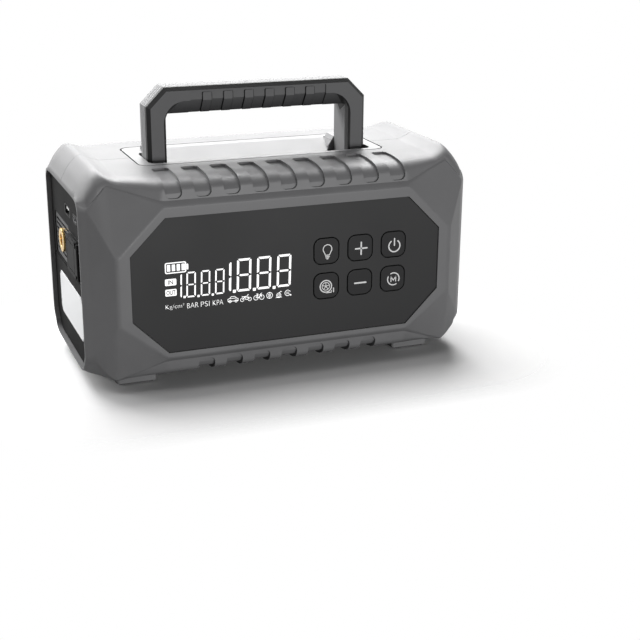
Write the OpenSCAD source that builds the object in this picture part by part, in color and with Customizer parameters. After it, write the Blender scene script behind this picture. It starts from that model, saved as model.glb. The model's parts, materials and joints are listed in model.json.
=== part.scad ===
// Jump starter with a built-in tyre compressor.
// Origin: middle of the footprint, on the ground. +X right, -Y front, +Z up. Millimetres.

/* [Housing] */
// Width over the end frames
body_w = 262; // [256:1:280]
// Depth from the front frame to the back frame
body_d = 146; // [142:1:160]
// Height of the top deck above the ground
deck_z = 138; // [136:1:150]
// Height of the bottom of the housing above the ground
foot_h = 8.5; // [7:0.5:10]
// How far the end frames rise above the deck
end_rise = 4.8; // [3:0.1:7]
// Wall of the housing
wall = 3; // [2.6:0.1:3.4]
// Gap between the front and back shells at the parting line
part_gap = 0.3; // [0.2:0.1:0.6]
// Corner of the deck: distance from the front face at which the deck is level
crown_u = 38; // [34:1:39]
// Rounding along the creases of the housing
crease = 1.6; // [1:0.1:2.2]

/* [Grip slots in the front shell] */
// Number of slots along the top edge
top_slots = 9; // [5:2:9]
// Number of slots along the bottom edge
low_slots = 7; // [3:2:7]
// Distance from slot to slot
slot_pitch = 18.7; // [17:0.1:19]
// Width of one slot
slot_w = 10.8; // [8:0.1:12]
// Depth of one slot
slot_deep = 1.5; // [0.8:0.1:2]
// Cut corners at the back end of a slot
slot_cut = 2; // [1:0.5:3]
// How far the slots run back over the edge, from the front face
slot_run = 33; // [28:1:36]

/* [Display panel] */
// Width of the panel
plate_w = 208; // [204:1:212]
// Height of the panel
plate_h = 87; // [84:1:90]
// Size of its cut corners
plate_cut = 22.6; // [20:0.1:24]
// Thickness of the panel
plate_t = 2.4; // [2:0.1:2.8]
// How far the panel lies below the frame round it
plate_sink = 0.8; // [0.5:0.1:1.2]
// How far the panel sits below the middle of the housing
plate_drop = 1.6; // [0:0.1:3]
// Width of the frame beside the panel
band_w = 8.6; // [8:0.1:9]
// Width of the frame above the panel
band_h = 7; // [6:0.1:8]
// Fitting gap round panels and inserts
fit = 0.25; // [0.15:0.05:0.35]

/* [Buttons] */
// Width and height of a button cap
cap_w = 16.8; // [15:0.1:17.4]
// Corner radius of a cap
cap_r = 4.8; // [3:0.1:6]
// Gap between a cap and its opening
cap_gap = 0.6; // [0.4:0.05:0.8]
// Distance between columns
cap_pitch_x = 23.6; // [22.5:0.1:25]
// Distance between rows
cap_pitch_z = 23.4; // [22.5:0.1:25]
// Middle column, from the middle of the panel
cap_x = 47.9; // [46:0.1:50]
// Height between the two rows
cap_z = 72.3; // [71:0.1:74]
// Travel of a button
cap_travel = 0.8; // [0.5:0.1:0.9]
// How far a cap stands out of the panel
cap_proud = 0.3; // [0.1:0.1:0.6]

/* [Display] */
// Width of the display module
lcd_w = 92; // [84:1:94]
// Height of the display module
lcd_h = 42; // [38:1:43]
// Gap between the module and the flanges of the first column of buttons
lcd_gap = 2.3; // [2:0.1:4]
// How far a button's flange reaches past its cap
key_flange = 1.6; // [1.2:0.1:1.8]

/* [Handle] */
// Width over the legs
handle_w = 151; // [146:1:154]
// Height of the top of the handle above the ground
handle_z = 184; // [178:1:200]
// Depth of the handle
handle_d = 26; // [24:1:28]
// Width of a leg
leg_w = 12.2; // [11:0.1:13]
// Height of the grip bar
grip_h = 17.5; // [16:0.5:20]
// Cut outer corners of the handle
handle_cut = 12; // [8:0.5:14]
// Depth of the soft layer on the front
soft_t = 5; // [4:0.5:6]
// Number of finger pads
pads = 7; // [5:1:7]
// Distance from pad to pad
pad_pitch = 14.2; // [12:0.1:15]
// Width of a pad
pad_w = 8.4; // [6:0.1:9]
// Depth of a pad
pad_deep = 1; // [0.4:0.1:1]
// Width and further depth of the grooves beside the ribs between the pads
groove = 0.6; // [0.4:0.1:0.8]
// How far below the pads' upper edge the ribs end
rib_low = 1.2; // [0.6:0.1:2]
// Width of the sloped edge round the outside of the handle's face
bevel_in = 2.3; // [1:0.1:2.6]
// Depth of that sloped edge
bevel_deep = 2.7; // [1:0.1:3]

// How far the soft lining runs down the inside of a leg, as a point
tongue = 6; // [3:0.5:7]

/* [Handle seat] */
// How far the seat reaches past the outside of the legs
seat_side = 8.5; // [8:0.5:10]
// Depth of the seat
seat_d = 59; // [54:1:60]
// How far the seat's middle lies behind the middle of the housing
seat_back = 3.5; // [3:0.5:5]
// Gap round the seat
seat_gap = 1.1; // [0.3:0.1:1.2]
// Corner radius of the seat
seat_r = 6.5; // [5:0.5:8]
// Thickness of its rim
seat_t = 1.7; // [1.4:0.1:2]
// Width of the ledge that carries the rim
seat_ledge = 2.5; // [2:0.1:3]
// Depth of the two pockets for the legs
pocket_deep = 12; // [8:0.5:13]
// Gap between a leg and the inner side of its pocket
pocket_in = 6.3; // [5:0.1:8]
// Gap between a leg and the outer side of its pocket
pocket_out = 1.2; // [0.8:0.1:2]
// Gap between a leg and the front of its pocket
pocket_front = 8.5; // [4:0.5:8.6]
// Corner radius of a pocket
pocket_r = 4.5; // [1:0.5:4.5]
// Depth of the tray between the pockets
tray_deep = 8; // [5:0.5:9]
// How far its floor runs back before it slopes up to the deck
tray_run = 29; // [24:1:34]
// Width of the seat left behind the tray
tray_rim = 4; // [3.5:0.5:6]
// Depth of the brace behind a leg
brace_d = 14; // [10:1:16]
// How far a brace reaches past the inside of its leg
brace_in = 4; // [2:0.5:5]
// How far a brace stands above the deck
brace_rise = 2.5; // [1:0.5:4]
// How far it ends short of the outside of the leg
brace_out = 4; // [2:0.5:5]

/* [End panels] */
// Rim of the end frame left standing round an end panel
rim_w = 1.4; // [1:0.1:2]
// How far an end panel lies below the rim
panel_sink = 3; // [2:0.1:3.5]
// Thickness of an end panel
panel_t = 3; // [2.4:0.1:3.4]
// Width of the ledge behind an end panel
panel_ledge = 4; // [3:0.1:5]

/* [Side light] */
// Width of the light
light_w = 74; // [66:1:78]
// Height of the light
light_h = 30; // [26:1:32]
// Height of its middle above the ground
light_z = 43; // [41:1:44]
// Position along the depth
light_y = -1.5; // [-3:0.5:1]
// Depth of the light box behind the panel
light_deep = 8; // [7:0.5:9]
// Rows and columns of LEDs
led_rows = 3; // [2:1:3]
led_cols = 9; // [6:1:10]

/* [Ports] */
// Height of the air outlet above the ground
outlet_z = 82; // [81:0.5:83]
// Radius of the outlet's flange
outlet_r = 8; // [7:0.5:9]
// Radius of the outlet's threaded hole
thread_r = 4.3; // [3.8:0.1:4.8]
// Height of the USB ports above the ground
usb_z = 107.5; // [106:0.5:109]
// Position of the larger USB port along the depth
usb_a_y = -3.5; // [-5:0.5:0]
// Position of the smaller USB port along the depth
usb_c_y = -27.5; // [-29:0.5:-25]
// Position of the jump lead socket along the depth
socket_y = -23; // [-24:0.5:-22]
// Height of the jump lead socket above the ground
socket_z = 82; // [81:0.5:83]
// Distance between the two contacts
contact_pitch = 11.2; // [10.8:0.1:12]
// Radius of a contact's hole
contact_r = 2.5; // [2.3:0.1:2.6]
// Width of the rubber cover
cover_w = 32; // [30:0.5:33]
// Height of the rubber cover
cover_h = 24; // [23:0.5:25]
// Thickness of the rubber cover
cover_t = 2.2; // [1.8:0.1:2.4]

/* [Grille] */
// Distance from the back face to the grille round the air outlet
grille_back = 29.5; // [28:0.5:32]
// Gap between the grille and the jump lead socket
grille_gap = 0.5; // [0.5:0.1:1.5]
// Height of the grille
grille_h = 29; // [27:1:31]
// Distance from slot to slot
vent_pitch = 3.4; // [3:0.1:4]
// Height of one slot
vent_w = 1.7; // [1.4:0.1:2]

/* [Battery] */
// Length of one cell
cell_len = 65.5; // [60:0.5:68]
// Distance from row to row
row_pitch = 26.6; // [26:0.1:26.8]
// Wall between two cells
cell_wall = 0.4; // [0.4:0.1:1.6]
// Left edge of the pack
pack_x = 5; // [5:0.1:5.5]
// Gap between the pack and the screw bosses beside it
pack_gap = 1.9; // [1.5:0.1:3]

/* [Compressor] */
// Radius of the motor
motor_r = 21; // [18:0.5:22]
// Gap between the left end panel and the gearbox, for the air pipe
pipe_room = 31; // [30:1:34]
// Gap between the motor and the battery, for the fan
fan_room = 13; // [12:0.5:14]
// Height of the motor's axis above the ground
motor_z = 46; // [45:0.5:48]
// Length of the gearbox
gearbox_len = 26; // [24:1:28]
// Radius of the cylinder's fins
fin_r = 17; // [15:0.5:18]
// Number of cooling fins
fins = 7; // [4:1:8]
// Radius of the cooling fan
fan_r = 19; // [16:0.5:20]
// Number of fan blades
blades = 9; // [5:1:11]

/* [Feet] */
// Width of a foot
foot_w = 26.5; // [22:0.5:28]
// Depth of a foot
foot_d = 24; // [18:0.5:26]
// Outer edge of a foot, from the middle
foot_x = 110.5; // [106:0.5:111]
// Front edge of a foot, from the front face
foot_u = 25; // [23:0.5:28]
// Thickness of the rubber pad
pad_t = 3; // [2:0.1:3.4]

/* [Screws] */
// Radius of a case screw
screw_r = 1.5; // [1.2:0.1:1.8]
// Radius of a screw boss
boss_r = 4.4; // [4.2:0.1:4.5]

/* [Hidden] */
$fn = 40;

housing_grey = "#8b8c8d";
panel_black = "#343435";
soft_black = "#4a4a4c";
board_green = "#1f5a3a";
over = 1;

// Housing: half sizes and the stations that shape it
hw = body_w / 2;
hd = body_d / 2;
deck_h = (deck_z - foot_h) / 2;
mid_z = foot_h + deck_h;
plate_z = mid_z - plate_drop;
ring_half = plate_h / 2 + band_h;
corner_x = plate_w / 2 - plate_cut + 1.1;
ring_x = plate_w / 2 + band_w;
peak_x = ring_x + 1.5;
front_wall = plate_sink + plate_t + wall;
function beyond(t) = peak_x + t * (hw - peak_x);
crest_x = beyond(0.35);
lip_x = beyond(0.73);

// Depth of the front surface along x
front_line = [[ring_x, 0], [lip_x, 12.6], [hw, 20]];
// Height at which the front face breaks into a corner facet: top, then bottom
top_corner = plate_h / 2 - plate_cut - plate_drop - 1.7;
low_corner = plate_h / 2 - plate_cut + plate_drop + 2;
break_line = [
    [[corner_x, ring_half - 1.7], [ring_x, top_corner], [lip_x, deck_h - 18], [hw, deck_h - 18.7]],
    [[corner_x, ring_half - 1.7], [ring_x, low_corner], [lip_x, deck_h - 18], [hw, deck_h - 14.7]]
];
// Outer edge of the corner facet: depth from the front
facet_u = [
    [[corner_x, 2.2], [peak_x, 13.9], [crest_x, 12.9], [lip_x, 13.5], [hw, 22]],
    [[corner_x, 2.2], [peak_x, 9], [crest_x, 11], [lip_x, 13.8], [hw, 24.5]]
];
// Outer edge of the corner facet: height from the middle
facet_h = [
    [[corner_x, ring_half + 0.4], [peak_x, deck_h - 3.9], [crest_x, deck_h - 10.4],
     [lip_x, deck_h - 17], [hw, deck_h - 15.5]],
    [[corner_x, ring_half + 0.4], [peak_x, deck_h - 2], [crest_x, deck_h - 7],
     [lip_x, deck_h - 15], [hw, deck_h - 8.8]]
];
// Height of the deck and of the underside from the middle
end_drop = 13;
deck_line = [
    [[peak_x - 10, deck_h], [peak_x - 7, deck_h + 0.1 * end_rise], [peak_x - 4, deck_h + 0.3 * end_rise],
     [peak_x - 1, deck_h + 0.58 * end_rise], [beyond(0.1), deck_h + 0.88 * end_rise],
     [beyond(0.2), deck_h + end_rise], [crest_x, deck_h + 0.78 * end_rise],
     [beyond(0.6), deck_h - 0.05 * end_drop], [beyond(0.83), deck_h - 0.48 * end_drop],
     [hw, deck_h - end_drop]],
    [[peak_x, deck_h], [lip_x, deck_h - 0.5], [hw, deck_h - 2.7]]
];
// Squareness of the rounded edge between front and deck
edge_power = [[corner_x, 3.4], [peak_x, 2.3], [hw, 2]];

function soft(x, line, r = crease) =
    (lookup(x - r, line) + 2 * lookup(x, line) + lookup(x + r, line)) / 4;

// Quarter profile at station x, from the front face out to the deck, as [depth, height]
arc_steps = 7;
function quarter(x, side) =
    let (
        b = [soft(x, front_line), soft(x, break_line[side])],
        a = [soft(x, facet_u[side]), soft(x, facet_h[side])],
        d = norm(a - b),
        along = (a - b) / d,
        e = min(crease, 0.35 * d),
        w = a + [1.2, 1],
        top = soft(x, deck_line[side]),
        q = 2 / soft(x, edge_power)
    )
    concat(
        [b - [0, e], b + (along - [0, 1]) * e / 4, b + along * e, a - along * e, a, w],
        [for (i = [1 : arc_steps])
            [crown_u - (crown_u - w[0]) * pow(cos(90 * i / arc_steps), q),
             w[1] + (top - w[1]) * pow(sin(90 * i / arc_steps), q)]],
        [[hd - part_gap / 2, top]]
    );
function flip(list) = [for (i = [len(list) - 1 : -1 : 0]) list[i]];
// Half profile at station x, from under the parting line round the front to the deck, as [y, z]
function profile(x) = concat(
    [for (p = flip(quarter(abs(x), 1))) [p[0] - hd, mid_z - p[1]]],
    [for (p = quarter(abs(x), 0)) [p[0] - hd, mid_z + p[1]]]
);

// Inner quarter profile: a coarser copy, set in by the wall
function inner_quarter(x, side) =
    let (q = quarter(x, side))
    [q[0] + [front_wall, -wall], q[4] + [wall + 1, -wall], q[8] + [wall, -wall], q[10] + [wall, -wall],
     q[12] + [0, -wall], [q[13][0] + over, q[13][1] - wall]];
function inner_profile(x) = concat(
    [for (p = flip(inner_quarter(abs(x), 1))) [p[0] - hd, mid_z - p[1]]],
    [for (p = inner_quarter(abs(x), 0)) [p[0] - hd, mid_z + p[1]]]
);

half_stations = [
    corner_x - crease, corner_x, corner_x + crease, (corner_x + peak_x - 10) / 2, peak_x - 10, peak_x - 7,
    peak_x - 4, ring_x, peak_x, beyond(0.1), beyond(0.2), beyond(0.28), crest_x, beyond(0.44),
    beyond(0.52), beyond(0.62), beyond(0.68), lip_x, beyond(0.8), beyond(0.88), beyond(0.94), hw
];
stations = concat([for (x = flip(half_stations)) -x], half_stations);
inner_x = hw - 8;
inner_stations = [-inner_x, -peak_x + 2, -corner_x, corner_x, peak_x - 2, inner_x];
function outer_of(x) = abs(x) > corner_x + 1 ? abs(x) + wall : abs(x);

// Skin through one closed outline for each station
module loft(xs, outlines) {
    n = len(outlines[0]);
    m = len(xs);
    points = [for (i = [0 : m - 1]) for (p = outlines[i]) [xs[i], p[0], p[1]]];
    sides = [for (i = [0 : m - 2]) for (j = [0 : n - 1])
        let (a = i * n + j, b = i * n + (j + 1) % n)
        each [[a, b, a + n], [b, b + n, a + n]]];
    caps = [[for (j = [n - 1 : -1 : 0]) j], [for (j = [0 : n - 1]) (m - 1) * n + j]];
    polyhedron(points = points, faces = concat(sides, caps), convexity = 8);
}
module half_body() loft(stations, [for (x = stations) profile(x)]);
module half_cavity() loft(inner_stations, [for (x = inner_stations) inner_profile(outer_of(x))]);

// Plane frames: local X and Y lie on the face, local Z points outwards
module on_front(x, z, y = -hd) translate([x, y, z]) rotate([90, 0, 0]) children();
module on_left(y, z, x = -hw) translate([x, y, z]) rotate([90, 0, -90]) children();
module on_right(y, z, x = hw) translate([x, y, z]) rotate([90, 0, 90]) children();
module along_y(x, z, y = 0) translate([x, y, z]) rotate([-90, 0, 0]) children();
module along_x(y, z, x = 0) translate([x, y, z]) rotate([0, 90, 0]) children();

module round_rect(w, h, r) {
    square([w - 2 * r, h], center = true);
    square([w, h - 2 * r], center = true);
    for (sx = [-1, 1]) for (sy = [-1, 1])
        translate([sx * (w / 2 - r), sy * (h / 2 - r)]) circle(r);
}
module cut_rect(w, h, c)
    polygon([[-w / 2, c - h / 2], [c - w / 2, -h / 2], [w / 2 - c, -h / 2], [w / 2, c - h / 2],
             [w / 2, h / 2 - c], [w / 2 - c, h / 2], [c - w / 2, h / 2], [-w / 2, h / 2 - c]]);
module block(x, y, z) translate([x[0], y[0], z[0]]) cube([x[1] - x[0], y[1] - y[0], z[1] - z[0]]);

// Outline of an end frame, set in by a margin; local origin halfway up
end_half = profile(hw);
end_y = hd - soft(hw, front_line);
end_low = mid_z - soft(hw, deck_line[1], 3);
end_top = mid_z + soft(hw, deck_line[0], 3);
end_mid = (end_low + end_top) / 2;
module end_outline(margin) {
    ky = 1 - margin / end_y;
    kz = 1 - 2 * margin / (end_top - end_low);
    polygon(concat(
        [for (p = end_half) [p[0] * ky, (p[1] - end_mid) * kz]],
        [for (p = flip(end_half)) [-p[0] * ky, (p[1] - end_mid) * kz]]));
}

// Grip slots: a row cuts down to a core that follows the edge at the depth of the slots
slot_edge = ring_half + 2.2;
module slot_core() rotate([90, 0, 90]) linear_extrude(2 * ring_x, center = true)
    polygon(concat(
        [for (p = flip(quarter(0, 1))) [p[0] + slot_deep - hd, mid_z - p[1] + slot_deep]],
        [for (p = quarter(0, 0)) [p[0] + slot_deep - hd, mid_z + p[1] - slot_deep]]));
module slot_row(count, flipped) {
    for (i = [0 : count - 1])
        translate([(i - (count - 1) / 2) * slot_pitch, 0, mid_z]) mirror([0, 0, flipped]) {
            on_front(0, slot_edge + deck_h / 2, 16 - hd) linear_extrude(20)
                round_rect(slot_w, deck_h, 3.6);
            translate([0, 6 + slot_run / 2 - hd, slot_edge + 4]) linear_extrude(deck_h)
                cut_rect(slot_w, slot_run - 4, slot_cut);
        }
}

// Handle seat: opening in the deck
seat_w = handle_w + 2 * seat_side;
module deck_opening() {
    translate([0, seat_back, deck_z - seat_t]) linear_extrude(end_rise + 5)
        round_rect(seat_w + 2 * seat_gap, seat_d + 2 * seat_gap, seat_r + seat_gap);
    translate([0, seat_back, deck_z - wall - over]) linear_extrude(wall + 2)
        round_rect(seat_w - 2 * seat_ledge, seat_d - 2 * seat_ledge, 4);
}

// Case screws: where they sit, and the ends of their shanks
screw_x = hw - 12.5;
screw_low = foot_h + 10;
screw_high = deck_z - 19;
screw_spots = [for (x = [-screw_x, 0, screw_x]) for (z = [screw_low, screw_high]) [x, z]];
screw_seat = 22;
screw_tip = -12;
head_r = 2 * screw_r - 0.2;
// Distance from the outer face at which a boss starts: inside the wall, or clear of a corner facet
function boss_start(spot) = spot[0] == 0 ? front_wall - 0.5 : front_wall + 8;

// Feet
foot_spots = [-foot_x + foot_w / 2, foot_x - foot_w / 2];
foot_y = hd - foot_u - foot_d / 2;
foot_gap = 1.3;

// One half of the housing, shaped as the front half
module shell_blank() {
    difference() {
        union() {
            difference() {
                half_body();
                half_cavity();
            }
            for (x = foot_spots) translate([x, -foot_y, foot_gap])
                linear_extrude(foot_h + wall - foot_gap - 0.2) round_rect(foot_w, foot_d, 2);
        }
        for (x = foot_spots) translate([x, -foot_y, -over])
            linear_extrude(pad_t + over) round_rect(foot_w - 3, foot_d - 3, 1.5);
        for (s = [0, 1]) mirror([s, 0, 0]) {
            on_right(0, end_mid, hw - panel_sink - panel_t)
                linear_extrude(panel_sink + panel_t + over) end_outline(rim_w);
            on_right(0, end_mid, inner_x - over)
                linear_extrude(hw - inner_x) end_outline(rim_w + panel_ledge);
        }
    }
}

// Control board behind the display panel, on four posts
board_t = 1.6;
lcd_left = cap_x - cap_pitch_x - cap_w / 2 - key_flange - lcd_gap - lcd_w;
board_y = front_wall + 3 - hd;
board_x = [lcd_left - 5, cap_x + cap_pitch_x + cap_w / 2 + 7];
board_half = cap_pitch_z / 2 + cap_w / 2 + 6;
board_z = [cap_z - board_half, cap_z + board_half];
window_edge = 4;
post_spots = [for (x = [board_x[0] + 2, board_x[1] - 2]) for (z = [board_z[0] + 2, board_z[1] - 2]) [x, z]];

module front_shell() color(housing_grey) {
    difference() {
        union() {
            shell_blank();
            for (s = screw_spots) along_y(s[0], s[1], boss_start(s) - hd)
                cylinder(r = boss_r, h = hd - boss_start(s) - part_gap / 2);
            for (p = post_spots) along_y(p[0], p[1], front_wall - 0.5 - hd)
                cylinder(r = 2.4, h = board_y + hd - front_wall + 0.5);
        }
        deck_opening();
        on_front(0, plate_z, plate_sink + plate_t - hd) linear_extrude(plate_t + 2)
            cut_rect(plate_w + 2 * fit, plate_h + 2 * fit, plate_cut);
        block([board_x[0] + window_edge, board_x[1] - window_edge], [-hd, front_wall + over - hd],
              [board_z[0] + window_edge, board_z[1] - window_edge]);
        for (s = screw_spots) along_y(s[0], s[1], screw_tip - 2)
            cylinder(r = screw_r, h = -screw_tip + 3);
        difference() {
            union() {
                slot_row(top_slots, 0);
                slot_row(low_slots, 1);
            }
            slot_core();
        }
    }
}

module rear_shell() color(housing_grey) {
    difference() {
        union() {
            mirror([0, 1, 0]) shell_blank();
            for (s = screw_spots) along_y(s[0], s[1], part_gap / 2)
                cylinder(r = boss_r, h = hd - boss_start(s) - part_gap / 2);
        }
        deck_opening();
        along_y(0, plate_z, hd - 1.2) linear_extrude(3)
            cut_rect(plate_w, plate_h, plate_cut);
        for (s = screw_spots) {
            along_y(s[0], s[1], -over) cylinder(r = screw_r + 0.2, h = hd);
            along_y(s[0], s[1], screw_seat) cylinder(r = head_r + 0.2, h = hd);
        }
    }
}

// Display panel and its six keys
key_spots = [for (z = [1, -1]) for (x = [-1, 0, 1])
    [cap_x + x * cap_pitch_x, cap_z + z * cap_pitch_z / 2]];
plate_back = plate_sink + plate_t - hd;
switch_h = 3.4;

module display_panel() color(panel_black) difference() {
    on_front(0, plate_z, plate_back) linear_extrude(plate_t)
        cut_rect(plate_w, plate_h, plate_cut);
    for (k = key_spots) on_front(k[0], k[1], plate_back + over) linear_extrude(plate_t + 2 * over)
        round_rect(cap_w + 2 * cap_gap, cap_w + 2 * cap_gap, cap_r + cap_gap);
}
module key(k) color("#2b2b2c") {
    cap_front = plate_sink - cap_proud - hd;
    flange_y = plate_back + fit + 1;
    on_front(k[0], k[1], flange_y - 0.5) linear_extrude(flange_y - 0.5 - cap_front)
        round_rect(cap_w, cap_w, cap_r);
    on_front(k[0], k[1], flange_y) linear_extrude(1)
        round_rect(cap_w + 2 * key_flange, cap_w + 2 * key_flange, cap_r + key_flange);
    along_y(k[0], k[1], flange_y - 0.5) cylinder(r = 1.4, h = board_y - 2.3 - flange_y + 0.5);
}
module light_button() key(key_spots[0]);
module plus_button() key(key_spots[1]);
module power_button() key(key_spots[2]);
module inflate_button() key(key_spots[3]);
module minus_button() key(key_spots[4]);
module mode_button() key(key_spots[5]);

module control_board() color(board_green) {
    block(board_x, [board_y, board_y + board_t], board_z);
    for (k = key_spots) difference() {
        translate([k[0], board_y + 0.2 - switch_h / 2, k[1]]) cube([6, switch_h + 0.4, 6], center = true);
        along_y(k[0], k[1], board_y - switch_h - over) cylinder(r = 1.7, h = switch_h + over - 1.2);
    }
    board_back = board_y + board_t;
    block([board_x[0] + 12, board_x[0] + 30], [board_back - 0.2, board_back + 3], [cap_z - 9, cap_z + 9]);
    block([cap_x - 6, cap_x + 8], [board_back - 0.2, board_back + 6], [cap_z - 14, cap_z - 4]);
}
module display_module() color("#d8dadb") {
    lcd_mid = lcd_left + lcd_w / 2;
    on_front(lcd_mid, cap_z, board_y) linear_extrude(board_y - plate_back - 1) round_rect(lcd_w, lcd_h, 1);
    on_front(lcd_mid, cap_z, plate_back + 1.5) linear_extrude(1.1) round_rect(lcd_w - 4, lcd_h - 4, 1);
}

// Handle: outline in the X-Z plane, then the seat, the stiff frame and the soft layer
leg_foot = deck_z - pocket_deep;
grip_under = handle_z - grip_h;
leg_in = handle_w / 2 - leg_w;
leg_mid = leg_in + leg_w / 2;
soft_y = soft_t - handle_d / 2;
handle_spots = [for (x = [-leg_mid, leg_mid]) for (y = [-3, 7]) [x, y]];
handle_screw_r = 2;
tub_low = leg_foot - 2.4;
lining = 5;
tongue_y = 2.5;
lining_back = handle_d / 2 - 3;

module handle_outline(inset) {
    w = handle_w / 2 - inset;
    t = handle_z - inset;
    c = handle_cut - 0.59 * inset;
    polygon([[-w, leg_foot], [w, leg_foot], [w, t - c], [w - c, t], [c - w, t], [-w, t - c]]);
}
// Opening between the legs, up to a height, with rounded upper corners
module handle_opening(top, r, grow = 0) {
    w = leg_in + grow;
    translate([-w, leg_foot - over]) square([2 * w, top - r - leg_foot + over]);
    translate([r - w, top - 2 * r]) square([2 * (w - r), 2 * r]);
    for (s = [-1, 1]) translate([s * (w - r), top - r]) circle(r);
}
module handle_slab(y, t) translate([0, y + t, 0]) rotate([90, 0, 0]) linear_extrude(t) children();
module handle_section(points) rotate([90, 0, 90]) linear_extrude(handle_w, center = true) polygon(points);
// Soft lining under the bar, running a point down the inside of each leg
module lining_shape() intersection() {
    handle_slab(soft_y - over, lining_back - soft_y + over) difference() {
        handle_opening(grip_under + lining, 2 + lining, lining);
        handle_opening(grip_under, 2);
    }
    handle_section([[soft_y - over, grip_under], [soft_y, grip_under], [tongue_y, grip_under - tongue],
                    [lining_back, grip_under], [lining_back, handle_z], [soft_y - over, handle_z]]);
}

module handle_seat() color("#8f9091") {
    pocket_x = [leg_in - pocket_in, handle_w / 2 + pocket_out];
    pocket_y = [-handle_d / 2 - pocket_front, handle_d / 2 + 0.3];
    tray_x = pocket_x[0] + pocket_r;
    tray_z = deck_z - tray_deep;
    tray_back = seat_back + seat_d / 2 - tray_rim;
    rim = 1.2;
    difference() {
        union() {
            translate([0, seat_back, deck_z - seat_t]) linear_extrude(seat_t)
                round_rect(seat_w, seat_d, seat_r);
            translate([0, seat_back, deck_z - wall - 0.5]) linear_extrude(wall)
                round_rect(seat_w - 2 * seat_ledge - 2 * fit, seat_d - 2 * seat_ledge - 2 * fit, 4);
            for (s = [0, 1]) mirror([s, 0, 0]) block([pocket_x[0] - rim, pocket_x[1] + rim],
                [pocket_y[0] - rim, handle_d / 2 + brace_d], [tub_low, deck_z - 0.5]);
            rotate([90, 0, 90]) linear_extrude(2 * tray_x, center = true)
                polygon([[pocket_y[0] - rim, tray_z - 2], [pocket_y[0] + tray_run, tray_z - 2],
                         [tray_back - 4, deck_z - wall], [pocket_y[0] - rim, deck_z - wall]]);
        }
        rotate([90, 0, 90]) linear_extrude(2 * tray_x, center = true)
            polygon([[pocket_y[0], tray_z], [pocket_y[0] + tray_run, tray_z], [tray_back, deck_z],
                     [tray_back, deck_z + over], [pocket_y[0], deck_z + over]]);
        for (s = [0, 1]) mirror([s, 0, 0]) {
            translate([(pocket_x[0] + pocket_x[1]) / 2, (pocket_y[0] + pocket_y[1]) / 2, leg_foot])
                linear_extrude(pocket_deep + over)
                    round_rect(pocket_x[1] - pocket_x[0], pocket_y[1] - pocket_y[0], pocket_r);
            block([leg_in - 0.3, handle_w / 2 + 0.3], [0, pocket_y[1]], [leg_foot, deck_z + over]);
        }
        for (h = handle_spots) translate([h[0], h[1], tub_low - over])
            cylinder(r = handle_screw_r + 0.2, h = pocket_deep);
    }
    for (s = [0, 1]) mirror([s, 0, 0])
        translate([0, handle_d / 2 + brace_d - 0.4, 0]) rotate([90, 0, 0]) linear_extrude(brace_d - 0.5)
            polygon([[leg_in - brace_in, leg_foot - 0.5], [handle_w / 2 - brace_out, leg_foot - 0.5],
                     [handle_w / 2 - brace_out, deck_z + brace_rise], [leg_in, deck_z + brace_rise],
                     [leg_in - brace_in, deck_z + brace_rise - 1.6 * brace_in]]);
}
module handle_frame() color("#9a9b9c") difference() {
    intersection() {
        handle_slab(soft_y, handle_d / 2 - soft_y) difference() {
            handle_outline(0);
            handle_opening(grip_under, 2);
        }
        hull() {
            handle_slab(soft_y, handle_d / 2 - soft_y - 7) handle_outline(0);
            handle_slab(handle_d / 2 - 0.1, 0.1) handle_outline(4.5);
        }
    }
    lining_shape();
    for (y = [-3.6, 0.2]) difference() {
        handle_slab(y, 0.5) translate([-handle_w, deck_z + 2]) square([2 * handle_w, handle_z]);
        handle_slab(y - over, 0.5 + 2 * over) handle_outline(0.35);
    }
    for (h = handle_spots) translate([h[0], h[1], leg_foot - over]) cylinder(r = handle_screw_r, h = 16);
}
// Front and lower slope of the bar; the finger pads are one long recess with ribs left standing
grip_face = -handle_d / 2;
slope_top = [grip_face, grip_under + grip_h / 2];
slope_low = [soft_y + 1.4, grip_under];
slope = slope_low - slope_top;
pad_rise = handle_z - bevel_in - 0.3 - grip_under;
leg_edge = 1.6;
module pad_block(x, w, rise, r) on_front(x, grip_under + rise / 2 - over, 0)
    linear_extrude(handle_d / 2 + over) round_rect(w, rise + 2 * over, r);
module ribs(grow) for (i = [0 : pads - 2])
    pad_block((i - (pads - 2) / 2) * pad_pitch, pad_pitch - pad_w + 2 * grow, pad_rise - rib_low, 0.8);
// What is left of the bar behind a recess of some depth
module pad_core(deep) {
    low = slope_low + deep * [-slope[1], slope[0]] / norm(slope);
    y = grip_face + deep;
    handle_section([[y, handle_z + over], [y, low[1] + (y - low[0]) * slope[1] / slope[0]],
                    low + 0.5 * slope, [handle_d, low[1] + 0.5 * slope[1]], [handle_d, handle_z + over]]);
}
module handle_grip() color(soft_black) difference() {
    union() {
        hull() {
            handle_slab(bevel_deep + grip_face, soft_t - bevel_deep) handle_outline(0);
            handle_slab(grip_face, 0.1) handle_outline(bevel_in);
        }
        lining_shape();
    }
    handle_slab(-handle_d, handle_d + soft_y) handle_opening(grip_under, 2);
    hull() {
        handle_slab(grip_face - 0.2, 0.1) handle_opening(slope_top[1], 13);
        handle_slab(slope_low[0], 0.1) handle_opening(grip_under, 3);
    }
    hull() {
        handle_slab(grip_face - 0.2, 0.1) handle_opening(slope_top[1], 13 + leg_edge, leg_edge);
        handle_slab(grip_face + leg_edge / 2, 0.1) handle_opening(slope_top[1] - 1.5, 12);
    }
    difference() {
        pad_block(0, (pads - 1) * pad_pitch + pad_w, pad_rise, 1);
        ribs(0);
        pad_core(pad_deep);
    }
    difference() {
        ribs(groove);
        ribs(0);
        pad_core(pad_deep + groove);
    }
}
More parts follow.
